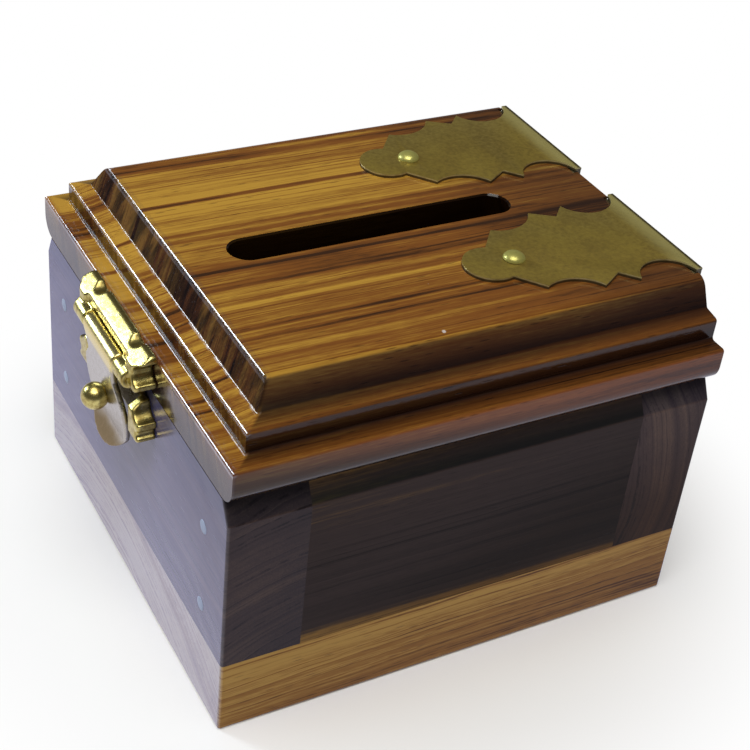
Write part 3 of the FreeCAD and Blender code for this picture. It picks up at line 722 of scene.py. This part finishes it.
@dataclass(frozen=True)
class LeafFinish(MetalFinish):
    """Brass of a hinge leaf on the lid: painted shade on its edges, a painted highlight on its rim, and a
    painted sheen on its fold with painted shade at its back.

    Lengths are in mm.
    """

    edge_heights: tuple[float, float] = (47.34, 47.44)
    edge_shade: Colour = (0.2, 0.18, 0.18, 1.0)
    rim_heights: tuple[float, float] = (47.56, 47.59)
    rim_painted_highlight: Colour = (0.8, 0.72, 0.36, 1.0)
    fold_depths: tuple[float, float] = (29.8, 32.4)
    fold_painted_sheen: Colour = (0.5, 0.45, 0.17, 1.0)
    back_depths: tuple[float, float] = (32.8, 33.15)
    back_shade: Colour = (0.18, 0.17, 0.15, 1.0)

    def painted_light_and_shape_colour(self, graph: Graph, place: Socket, colour: Socket) -> Socket:
        """Colour of the leaf with painted shade on its edges and at the back of its fold, a painted highlight
        on its rim, and a painted sheen on its fold.

        Args:
            graph: Graph of the material.
            place: Place on the object in mm.
            colour: Colour of the brass.

        Returns:
            The worn colour.
        """
        _, y, z = graph.split(place)
        ragged = graph.noise(place, (0.25, 0.9, 0.9), 2.0)
        depth = graph.plus(y, graph.minus(ragged, 0.5))
        # Painted sheen on the fold, paler towards the back.
        painted_fold_sheen_mask = graph.slide(depth, *self.fold_depths, 0.0, 0.6)
        colour = graph.blend(painted_fold_sheen_mask, colour, self.fold_painted_sheen)
        # Painted shade at the back of the fold.
        colour = graph.blend(graph.slide(y, *self.back_depths), colour, self.back_shade, "MULTIPLY")
        # Painted highlight on the rounded edge just under the top face.
        rim = graph.product(graph.slide(z, *self.rim_heights, 1.0, 0.0), ragged)
        colour = graph.blend(rim, colour, self.rim_painted_highlight)
        # Painted shade on the leaf's edges, below the top.
        painted_edge_shade_mask = graph.slide(z, *self.edge_heights, 1.0, 0.0)
        return graph.blend(painted_edge_shade_mask, colour, self.edge_shade, "MULTIPLY")


@dataclass(frozen=True)
class FlapFinish(MetalFinish):
    """Brass of the hasp's flap: yellow on its barrel, grey on its face, and a painted dark reflection at its
    lip.
    """

    barrel_heights: tuple[float, float] = (35.6, 36.6)
    barrel_colour: Colour = (0.8, 0.66, 0.27, 1.0)
    lip_heights: tuple[float, float] = (24.2, 27.2)
    lip_painted_reflection: Colour = (0.22, 0.145, 0.045, 1.0)

    def painted_light_and_shape_colour(self, graph: Graph, place: Socket, colour: Socket) -> Socket:
        """Colour of the flap with its yellow barrel and a painted dark reflection on its lip.

        Args:
            graph: Graph of the material.
            place: Place on the object in mm.
            colour: Colour of the brass.

        Returns:
            The worn colour.
        """
        x, _, z = graph.split(place)
        ragged = graph.minus(graph.noise(place, (0.35, 0.35, 0.35), 2.0), 0.5)
        height = graph.total((z, 1.0), (ragged, 2.5), (x, 0.12))
        # Painted dark reflection on the lip, along the flap's lower edge.
        colour = graph.blend(graph.slide(height, *self.lip_heights, 0.92, 0.0), colour, self.lip_painted_reflection)
        return graph.blend(graph.slide(z, *self.barrel_heights), colour, self.barrel_colour)


def dress(node: str, material: bpy.types.Material) -> None:
    """Give a CAD node its finish."""
    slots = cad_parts[node].material_slots
    for slot in slots:
        slot.material = material
    if not slots:
        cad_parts[node].data.materials.append(material)


def loose_copy(node: str, name: str) -> bpy.types.Object:
    """Copy of a CAD node with its corners joined and its flat faces made whole.

    Args:
        node: Name of the CAD node.
        name: Name of the new piece.

    Returns:
        The new object.
    """
    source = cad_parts[node].data
    mesh = bpy.data.meshes.new(name)
    mesh.from_pydata([v.co[:] for v in source.vertices], [], [p.vertices[:] for p in source.polygons])
    shape = bmesh.new()
    shape.from_mesh(mesh)
    bmesh.ops.remove_doubles(shape, verts=shape.verts[:], dist=1e-6)
    bmesh.ops.dissolve_limit(
        shape, angle_limit=math.radians(0.5), use_dissolve_boundaries=False,
        verts=shape.verts[:], edges=shape.edges[:],
    )
    shape.to_mesh(mesh)
    shape.free()
    piece = bpy.data.objects.new(name, mesh)
    bpy.context.scene.collection.objects.link(piece)
    return piece


def settle(piece: bpy.types.Object, sharp_angle: float) -> None:
    """Turn a piece's modifiers into plain mesh, smooth up to an angle in degrees."""
    bpy.context.view_layer.update()
    graph = bpy.context.evaluated_depsgraph_get()
    mesh = bpy.data.meshes.new_from_object(piece.evaluated_get(graph))
    mesh.name = piece.name
    piece.modifiers.clear()
    piece.data = mesh
    mesh.polygons.foreach_set("use_smooth", [True] * len(mesh.polygons))
    mesh.set_sharp_from_angle(angle=math.radians(sharp_angle))


def stamped_copy(node: str, name: str, round_off: float) -> bpy.types.Object:
    """Copy of a sheet metal node with its cut edges rounded off.

    Args:
        node: Name of the CAD node.
        name: Name of the new piece.
        round_off: Width of the rounding in metres.

    Returns:
        The new piece.
    """
    piece = loose_copy(node, name)
    bevel = piece.modifiers.new("round edges", "BEVEL")
    bevel.width = round_off
    bevel.segments = 2
    bevel.limit_method = "ANGLE"
    bevel.angle_limit = math.radians(40)
    settle(piece, 45)
    return piece


def cast_copy(node: str, name: str, voxel: float, passes: int) -> bpy.types.Object:
    """Copy of a cast node with all its edges melted soft.

    Args:
        node: Name of the CAD node.
        name: Name of the new piece.
        voxel: Size of the new mesh's cells in metres.
        passes: Number of smoothing passes.

    Returns:
        The new piece.
    """
    piece = loose_copy(node, name)
    cells = piece.modifiers.new("even cells", "REMESH")
    cells.mode = "VOXEL"
    cells.voxel_size = voxel
    melt = piece.modifiers.new("melt edges", "SMOOTH")
    melt.factor = 0.5
    melt.iterations = passes
    settle(piece, 180)
    return piece


def stand_for(
    piece: bpy.types.Object, body: str, slot: str, material: bpy.types.Material, *nodes: str
) -> None:
    """Finish a new piece: dress it, let it ride, and put it in place of CAD nodes.

    Args:
        piece: The new piece.
        body: Body that it rides on.
        slot: Slot of the record that it takes its finish from; not used.
        material: Its finish.
        *nodes: CAD nodes that it stands for.
    """
    piece.data.materials.clear()
    piece.data.materials.append(material)
    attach(piece, body)
    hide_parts(*nodes)
    LOG.info("piece %s on %s for %s", piece.name, body, ", ".join(nodes))


@dataclass
class NailRow:
    """A row of equal dome-headed nails or pins, made by Geometry Nodes. Sizes are in metres."""

    name: str
    body: str
    slot: str
    nodes: tuple[str, ...]
    facing: Facing
    head_radius: float
    head_rise: float
    shank_radius: float
    shank_length: float
    tilt: float
    seed: int

    @staticmethod
    @cache
    def tree() -> bpy.types.NodeTree:
        """The Geometry Nodes tree that sets a nail on every point.

        Returns:
            The tree.
        """
        tree = bpy.data.node_groups.new("dome nails", "GeometryNodeTree")
        sizes = ("Head Radius", "Head Rise", "Shank Radius", "Shank Length", "Tilt")
        kinds = {"Geometry": "Geometry"} | {size: "Float" for size in sizes}
        kinds |= {"Facing": "Vector", "Seed": "Int", "Finish": "Material"}
        for title, kind in kinds.items():
            tree.interface.new_socket(title, in_out="INPUT", socket_type="NodeSocket" + kind)
        tree.interface.new_socket("Geometry", in_out="OUTPUT", socket_type="NodeSocketGeometry")
        graph = Graph(tree)
        take = graph.add("NodeGroupInput").outputs
        ball = graph.add("GeometryNodeMeshUVSphere", {
            "Segments": 40, "Rings": 24, "Radius": take["Head Radius"],
        })
        x, y, z = graph.split(graph.add("GeometryNodeInputPosition").outputs[0])
        squat = graph.math("DIVIDE", take["Head Rise"], take["Head Radius"])
        dome = graph.product(graph.math("MAXIMUM", z, 0.0), squat)
        seat = graph.add("ShaderNodeCombineXYZ", {0: x, 1: y, 2: dome})
        head = graph.add("GeometryNodeSetPosition", {
            "Geometry": ball.outputs["Mesh"], "Position": seat.outputs[0],
        })
        rod = graph.add("GeometryNodeMeshCylinder", {
            "Vertices": 24, "Radius": take["Shank Radius"], "Depth": take["Shank Length"],
        })
        drop = graph.add("ShaderNodeCombineXYZ", {2: graph.product(take["Shank Length"], -0.5)})
        shank = graph.add("GeometryNodeTransform", {
            "Geometry": rod.outputs["Mesh"], "Translation": drop.outputs[0],
        })
        nail = graph.add("GeometryNodeJoinGeometry")
        for part in (head, shank):
            graph.tree.links.new(part.outputs["Geometry"], nail.inputs["Geometry"])
        lean = graph.add("FunctionNodeRandomValue", {"Seed": take["Seed"]}, data_type="FLOAT_VECTOR")
        graph.feed(lean.inputs["Min"], (-1.0, -1.0, -1.0))
        graph.feed(lean.inputs["Max"], (1.0, 1.0, 1.0))
        sway = graph.vector("MULTIPLY", lean.outputs[0], take["Tilt"])
        row = graph.add("GeometryNodeInstanceOnPoints", {
            "Points": take["Geometry"], "Instance": nail.outputs[0],
            "Rotation": graph.vector("ADD", take["Facing"], sway),
        })
        real = graph.add("GeometryNodeRealizeInstances", {"Geometry": row.outputs[0]})
        finish = graph.add("GeometryNodeSetMaterial", {
            "Geometry": real.outputs[0], "Material": take["Finish"],
        })
        end = graph.add("NodeGroupOutput")
        graph.feed(end.inputs["Geometry"], finish.outputs[0])
        return tree

    def build(self, points: list[Vector], material: bpy.types.Material) -> None:
        """Set the nails.

        Args:
            points: Middle of the underside of each head, in metres.
            material: Finish of the nails.
        """
        seeds = bpy.data.meshes.new(self.name)
        seeds.from_pydata([point[:] for point in points], [], [])
        piece = bpy.data.objects.new(self.name, seeds)
        bpy.context.scene.collection.objects.link(piece)
        row = piece.modifiers.new("dome nails", "NODES")
        row.node_group = self.tree()
        values = {
            "Head Radius": self.head_radius, "Head Rise": self.head_rise,
            "Shank Radius": self.shank_radius, "Shank Length": self.shank_length,
            "Tilt": self.tilt, "Facing": self.facing.value, "Seed": self.seed, "Finish": material,
        }
        for item in row.node_group.interface.items_tree:
            if item.in_out == "INPUT" and item.name in values:
                row[item.identifier] = values[item.name]
        settle(piece, 50)
        stand_for(piece, self.body, self.slot, material, *self.nodes)


@dataclass
class WoodenBody:
    """The five boards and the joint pins."""

    pin_radius: float = 0.9 * MM
    pin_rise: float = 0.12 * MM
    pin_length: float = 18.2 * MM

    def finishes(self) -> dict[str, WoodFinish]:
        """Finish of each board, by its node."""
        dark = {
            "light": (0.09, 0.05, 0.034, 1.0),
            "mid": (0.043, 0.0245, 0.021, 1.0),
            "deep": (0.013, 0.008, 0.007, 1.0),
        }
        gold = {
            "light": (0.56, 0.33, 0.085, 1.0),
            "mid": (0.35, 0.165, 0.037, 1.0),
            "deep": (0.11, 0.046, 0.014, 1.0),
        }
        side = dark | {"light": (0.42, 0.19, 0.045, 1.0)}
        bevel, bevel_foot = (32.4, 35.2), 32.3
        # Painted sheen: the front board gets lighter and bluer upwards, on its face and ends.
        front_end_painted_sheen = Fade((52.0, 92.0), (0.7, 0.82, 0.92, 1.0), (1.2, 1.4, 1.6, 1.0), lean=2.0)
        # Painted shade: the top bevels get darker under the lid's overhang.
        end_bevel_painted_shade = Fade(bevel, (0.6, 0.7, 0.85, 1.0), (0.45, 0.55, 0.7, 1.0), start=bevel_foot)
        # Painted sheen on the side panels: lighter and bluer upwards and towards the front. On their top
        # bevels, painted shade low down under the lid and painted light above.
        panel, side_bevel = (9.0, 26.0), (32.6, 36.0)
        right_painted_sheen_and_shade = (
            Fade(panel, (0.62, 0.66, 0.55, 1.0), (1.22, 1.5, 1.7, 1.0), lean=0.35),
            Fade(side_bevel, (0.3, 0.42, 0.46, 1.0), (2.0, 2.0, 1.9, 1.0), start=bevel_foot),
        )
        left_painted_sheen_and_shade = (
            Fade(panel, (0.8, 0.82, 0.75, 1.0), (1.1, 1.2, 1.25, 1.0), lean=0.35),
            Fade(side_bevel, (0.55, 0.6, 0.65, 1.0), (1.15, 1.1, 1.05, 1.0), start=bevel_foot),
        )
        nicks = ((9.8, 26.0, 0.3), (12.7, 29.0, 0.22), (10.6, 25.2, 0.18))
        return {
            # Painted shade: the drift darkens the foot towards the back. Painted cool sheen: the foot's front
            # face is bluer and greyer.
            "bottom_board": WoodFinish(
                "pale_walnut_foot", Grain.ALONG_Y, pith=(-6.0, -58.0), seed=311.0, tone=0.56, **gold,
                ring_width=1.6, wander=4.0, contrast=1.35, gloss=0.04, drift=(0.0, -0.004, 0.0),
                front_gloss=(1.0, 1.0), coat_roughness=0.22, sheen=1.0, sheen_tint=(0.45, 0.55, 1.0, 1.0),
                fades=(Fade.on_front(-32.85, -32.95, (0.85, 1.1, 3.0, 1.0)),),
            ),
            "front_board": WoodFinish(
                "walnut_front", Grain.ALONG_X, pith=(18.0, -15.0), seed=127.0, tone=0.5, **dark,
                ring_width=1.7, contrast=0.85, gloss=0.12, front_gloss=(0.38, 0.64), coat_roughness=0.22,
                sheen=0.75, fades=(front_end_painted_sheen, end_bevel_painted_shade),
                chips=tuple(Chip((x, FRONT_Y, z), size, (0.014, 0.009, 0.008, 1.0)) for x, z, size in nicks),
            ),
            # Painted sheen: the back board gets lighter and bluer upwards, by its fade and its drift.
            "back_board": WoodFinish(
                "walnut_back", Grain.ALONG_X, pith=(5.0, 20.0), seed=523.0, tone=0.45, **dark,
                ring_width=0.9, contrast=0.6, gloss=0.06, drift=(0.0, 0.0, 0.012),
                fades=(Fade((12.0, 32.0), (0.95, 0.8, 0.6, 1.0), (1.75, 2.1, 2.6, 1.0)), end_bevel_painted_shade),
            ),
            # Painted sheen: the drift also makes both side boards lighter upwards.
            "right_side_board": WoodFinish(
                "walnut_right_side", Grain.ALONG_Y, pith=(26.0, 110.0), seed=709.0, tone=0.3, **side,
                contrast=0.32, pale_foot=(9.8, 14.8, 0.62), gloss=0.05, drift=(0.0, -0.002, 0.012),
                fades=right_painted_sheen_and_shade,
            ),
            "left_side_board": WoodFinish(
                "walnut_left_side", Grain.ALONG_Y, pith=(-24.0, 120.0), seed=67.0, tone=0.36, **side,
                contrast=0.4, pale_foot=(9.0, 12.5, 0.3), gloss=0.05, drift=(0.0, 0.0, 0.008),
                fades=left_painted_sheen_and_shade,
            ),
        }

    def build(self, pin_finish: MetalFinish) -> None:
        """Dress the boards and set the pins.

        Args:
            pin_finish: Finish of the joint pins.
        """
        for node, finish in self.finishes().items():
            dress(node, finish.material())
            LOG.info("board %s in %s", node, finish.name)
        metal = pin_finish.material()
        for side, facing in (("front", Facing.FRONT), ("back", Facing.BACK)):
            node = f"{side}_joint_pins"
            low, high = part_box(node)
            reach = self.pin_radius
            face = low.y if facing is Facing.FRONT else high.y
            points = [
                Vector((x, face, z))
                for x in (low.x + reach, high.x - reach)
                for z in (low.z + reach, high.z - reach)
            ]
            NailRow(
                f"{side}_pin_row", "box", "joint_pin", (node,), facing,
                head_radius=self.pin_radius, head_rise=self.pin_rise,
                shank_radius=self.pin_radius, shank_length=self.pin_length, tilt=0.0, seed=5,
            ).build(points, metal)


@dataclass
class Lid:
    """The stepped lid panel; places and sizes are in mm."""

    top: float = 47.05
    pith: tuple[float, float] = (-1888.0, -613.0)
    arrises: tuple[tuple[float, float], ...] = ((FRONT_Y, 40.35), (-30.5, 43.25), (-26.6, 47.05))

    def finish(self) -> LidFinish:
        """Golden walnut with the lid's own dark streaks."""
        slant = self.pith[0] / math.hypot(self.pith[0], self.top - self.pith[1])
        marks = (
            (-27.0, 0.8, 0.3), (-25.3, 1.2, 0.45), (-23.6, 0.7, 0.45), (-22.3, 1.3, 0.62), (-20.0, 0.4, 0.25),
            (-16.4, 0.3, 0.15), (-11.5, 7.5, -0.17), (-12.4, 0.45, 0.8), (-8.6, 0.5, 0.22), (-5.0, 0.6, 0.25),
            (4.8, 3.6, 0.42), (4.0, 0.4, 0.2), (7.6, 0.4, 0.2), (10.6, 0.5, 0.2), (12.9, 0.35, 0.2),
            (16.0, 0.4, 0.4), (18.6, 0.3, 0.08), (21.6, 0.4, 0.2),
        )
        return LidFinish(
            "golden_walnut_lid", Grain.ALONG_Y, pith=self.pith, seed=41.0, tone=0.555,
            light=(0.475, 0.262, 0.037, 1.0), mid=(0.195, 0.069, 0.013, 1.0),
            deep=(0.042, 0.0175, 0.007, 1.0),
            ring_width=3.1, wander=1.6, contrast=0.78, dullness=0.1, reference=(0.0, self.top),
            drift=(-0.006, -0.0045, 0.0),
            streaks=tuple(Streak(place * -slant, half, depth) for place, half, depth in marks),
            arrises=self.arrises, gloss=0.28, coat_roughness=0.16, front_gloss=(0.2, 0.2),
            fades=(
                # Darker towards the back of the crown.
                Fade((18.0, 40.0), (0.66, 0.7, 0.95, 1.0), PLAIN, lean=1.0, start=44.5),
                # Painted shade on the nose's front face.
                Fade.on_front(-32.5, -32.8, (0.78, 0.62, 0.66, 1.0)),
            ),
            chips=(Chip((23.7, -4.0, self.top), 0.3, (0.62, 0.56, 0.5, 1.0)),),
        )

    def build(self) -> None:
        """Dress the panel."""
        finish = self.finish()
        dress("lid_panel", finish.material())
        LOG.info("board lid_panel in %s", finish.name)


@dataclass
class Hinges:
    """The two hinges with their leaves, pins and nails; sizes are in metres, and the tilt in degrees."""

    edge_round: float = 0.15 * MM
    nail_head_radius: float = 1.45 * MM
    nail_head_rise: float = 0.9 * MM
    nail_shank_radius: float = 0.65 * MM
    nail_shank_length: float = 8.0 * MM
    nail_tilt: float = 4.0

    def build(self, lid_finish: LeafFinish, back_finish: MetalFinish, nail_finish: MetalFinish) -> None:
        """Make the leaves and nails.

        Args:
            lid_finish: Finish of the leaves on the lid.
            back_finish: Finish of the leaves down the back, and of the pins.
            nail_finish: Finish of the nails.
        """
        lid_brass, back_brass = lid_finish.material(), back_finish.material()
        for side in ("left", "right"):
            for leaf, body, brass in (("lid", "lid", lid_brass), ("back", "box", back_brass)):
                node = f"{side}_hinge_{leaf}_leaf"
                piece = stamped_copy(node, f"{side}_{leaf}_leaf", self.edge_round)
                stand_for(piece, body, "hinge_brass", brass, node)
            dress(f"{side}_hinge_pin", back_brass)
        nail_brass = nail_finish.material()
        reach = self.nail_head_radius
        low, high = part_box("hinge_lid_nails")
        y, z = (low.y + high.y) / 2, high.z - self.nail_head_rise
        seats = [Vector((x, y, z)) for x in (low.x + reach, high.x - reach)]
        self.row("lid_nail_row", "lid", "hinge_lid_nails", Facing.UP, 3).build(seats, nail_brass)
        low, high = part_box("hinge_back_nails")
        y, z = high.y - self.nail_head_rise, (low.z + high.z) / 2
        seats = [Vector((x, y, z)) for x in (low.x + reach, high.x - reach)]
        self.row("back_nail_row", "box", "hinge_back_nails", Facing.BACK, 8).build(seats, nail_brass)

    def row(self, name: str, body: str, node: str, facing: Facing, seed: int) -> NailRow:
        """A row of hinge nails for one CAD node."""
        return NailRow(
            name, body, "hinge_brass", (node,), facing,
            head_radius=self.nail_head_radius, head_rise=self.nail_head_rise,
            shank_radius=self.nail_shank_radius, shank_length=self.nail_shank_length,
            tilt=math.radians(self.nail_tilt), seed=seed,
        )


@dataclass
class Hasp:
    """The hasp: two plates, the flap with its knob, and the pin; sizes are in metres."""

    cell: float = 0.12 * MM
    passes: int = 22

    def build(self, finish: MetalFinish, flap_finish: FlapFinish) -> None:
        """Make the hasp.

        Args:
            finish: Finish of the plates, the knob and the pin.
            flap_finish: Finish of the flap.
        """
        brass = finish.material()
        flap_brass = flap_finish.material()
        for node, body in (("hasp_lid_plate", "lid"), ("hasp_body_plate", "box"), ("hasp_flap", "flap")):
            piece = cast_copy(node, f"cast_{node}", self.cell, self.passes)
            stand_for(piece, body, "hasp_brass", flap_brass if body == "flap" else brass, node)
        for node in ("hasp_pivot_pin", "hasp_knob"):
            dress(node, brass)


@dataclass
class Studio:
    """Floor, world, lights and camera; lengths are in metres, and the floor's fading in mm."""

    lens: float = 74.68
    camera_place: Place = (0.145306, -0.087541, 0.145211)
    azimuth: float = 58.306
    elevation: float = 35.558
    roll: float = 6.597
    aim: Place = (0.0, 0.0, 0.025)
    floor_reach: float = 4.0
    floor_drop: float = -0.00005
    shadow_reach: tuple[float, float] = (34.0, 68.0)
    glow_reach: tuple[float, float] = (150.0, 450.0)

    def build(self) -> None:
        """Set up the whole studio."""
        bpy.context.scene.view_settings.view_transform = "Standard"
        self.floor()
        self.world()
        self.lamp("window", (-0.72, -0.59, 0.366), distance=0.7, size=0.16, watts=2.4, tint=(0.74, 0.87, 1.0))
        self.lamp("overhead", (0.22, -0.2, 0.95), distance=0.95, size=0.7, watts=8.0, tint=(1.0, 0.98, 0.94))
        self.camera()

    def floor(self) -> None:
        """Pale floor that keeps the shadow near the box and runs out to white."""
        mesh = bpy.data.meshes.new("floor")
        corners = [
            (x * self.floor_reach, y * self.floor_reach, self.floor_drop)
            for x, y in ((-1, -1), (1, -1), (1, 1), (-1, 1))
        ]
        mesh.from_pydata(corners, [], [(0, 1, 2, 3)])
        floor = bpy.data.objects.new("floor", mesh)
        bpy.context.scene.collection.objects.link(floor)
        material, graph, shader, place = open_material("pale_floor")
        set_plain(shader, {"Roughness": 0.9, "Specular IOR Level": 0.1})
        x, y, _ = graph.split(place)
        away = graph.hypot(x, y)
        path = graph.add("ShaderNodeLightPath").outputs
        by_camera, by_gloss = path["Is Camera Ray"], path["Is Glossy Ray"]
        seen = graph.plus(graph.plus(by_camera, by_gloss), path["Is Transmission Ray"])
        seen = graph.math("MINIMUM", seen, 1.0)
        pale = graph.blend(seen, (0.6, 0.6, 0.6, 1.0), (0.95, 0.95, 0.95, 1.0))
        pale = graph.blend(by_gloss, pale, (0.82, 0.87, 1.0, 1.0))
        graph.feed(shader.inputs["Base Color"], pale)
        far = graph.product(graph.slide(away, *self.shadow_reach), seen)
        far = graph.math("MAXIMUM", far, by_gloss)
        strength = graph.math("MAXIMUM", by_camera, graph.slide(away, *self.glow_reach, 1.0, 0.1))
        cool = graph.blend(by_camera, (0.88, 0.87, 1.0, 1.0), PLAIN)
        white = graph.add("ShaderNodeEmission", {"Color": cool, "Strength": strength})
        both = graph.add("ShaderNodeMixShader", {0: far, 1: shader.outputs[0], 2: white.outputs[0]})
        graph.feed(material.node_tree.nodes["Material Output"].inputs["Surface"], both.outputs[0])
        mesh.materials.append(material)

    def world(self) -> None:
        """White horizon under a darker ceiling."""
        world = bpy.data.worlds.new("studio")
        world.use_nodes = True
        graph = Graph(world.node_tree)
        height = graph.split(graph.add("ShaderNodeTexCoord").outputs["Generated"])[2]
        room = graph.blend(graph.slide(height, 0.0, 0.4), (0.16, 0.16, 0.17, 1.0), (0.07, 0.07, 0.075, 1.0))
        seen = graph.add("ShaderNodeLightPath").outputs["Is Camera Ray"]
        colour = graph.blend(seen, room, PLAIN)
        graph.feed(world.node_tree.nodes["Background"].inputs["Color"], colour)
        bpy.context.scene.world = world

    def lamp(
        self, name: str, direction: Place, distance: float, size: float, watts: float, tint: Place
    ) -> None:
        """Soft square lamp that looks at the box.

        Args:
            name: Name of the lamp.
            direction: Way from the box to the lamp.
            distance: How far away it stands.
            size: Side of the square.
            watts: Power.
            tint: Colour of the light.
        """
        data = bpy.data.lights.new(name, "AREA")
        data.size, data.energy, data.color = size, watts, tint
        lamp = bpy.data.objects.new(name, data)
        way = Vector(direction).normalized()
        turn = way.to_track_quat("Z", "Y").to_matrix().to_4x4()
        lamp.matrix_world = Matrix.Translation(Vector(self.aim) + way * distance) @ turn
        bpy.context.scene.collection.objects.link(lamp)

    def camera(self) -> None:
        """Camera where the photograph was taken from."""
        around, up_angle, tilt = (math.radians(a) for a in (self.azimuth, self.elevation, self.roll))
        back = Vector((
            math.sin(around) * math.cos(up_angle), -math.cos(around) * math.cos(up_angle), math.sin(up_angle),
        ))
        level = Vector((math.cos(around), math.sin(around), 0.0))
        up = back.cross(level)
        right = level * math.cos(tilt) + up * math.sin(tilt)
        up = up * math.cos(tilt) - level * math.sin(tilt)
        data = bpy.data.cameras.new("camera")
        data.lens, data.sensor_width, data.clip_start = self.lens, 36.0, 0.005
        camera = bpy.data.objects.new("camera", data)
        turn = Matrix((right, up, back)).transposed().to_4x4()
        camera.matrix_world = Matrix.Translation(self.camera_place) @ turn
        bpy.context.scene.collection.objects.link(camera)
        bpy.context.scene.camera = camera


def main() -> None:
    """Build every sub-assembly in order."""
    logging.basicConfig(level=logging.INFO, format="%(name)s: %(message)s")
    satin = {
        "bright": (0.325, 0.237, 0.043, 1.0), "dull": (0.178, 0.122, 0.022, 1.0),
        "tarnish": 0.95, "gloss_loss": 0.3, "relief": 1.0e-5, "metallic": 0.5,
    }
    leaf_brass = LeafFinish("satin_lid_leaf_brass", **satin)
    back_brass = MetalFinish("satin_back_leaf_brass", **satin)
    nail_brass = MetalFinish(
        "nail_brass", (0.58, 0.55, 0.15, 1.0), (0.33, 0.29, 0.07, 1.0),
        tarnish=0.5, gloss_loss=0.24, relief=1.2e-5, metallic=0.55,
    )
    hasp_brass = MetalFinish(
        "polished_hasp_brass", (0.7, 0.61, 0.215, 1.0), (0.26, 0.165, 0.035, 1.0),
        tarnish=0.8, gloss_loss=0.16, relief=1.8e-5,
    )
    flap_brass = FlapFinish(
        "grey_flap_brass", (0.5, 0.465, 0.385, 1.0), (0.33, 0.285, 0.2, 1.0),
        tarnish=0.4, gloss_loss=0.2, relief=1.4e-5,
    )
    pin_metal = MetalFinish(
        "pin_metal", (0.38, 0.44, 0.57, 1.0), (0.24, 0.28, 0.37, 1.0),
        tarnish=0.5, gloss_loss=0.35, relief=1.0e-5, metallic=0.2,
    )
    Studio().build()
    WoodenBody().build(pin_metal)
    Lid().build()
    Hinges().build(leaf_brass, back_brass, nail_brass)
    Hasp().build(hasp_brass, flap_brass)


if __name__ == "__main__":
    main()
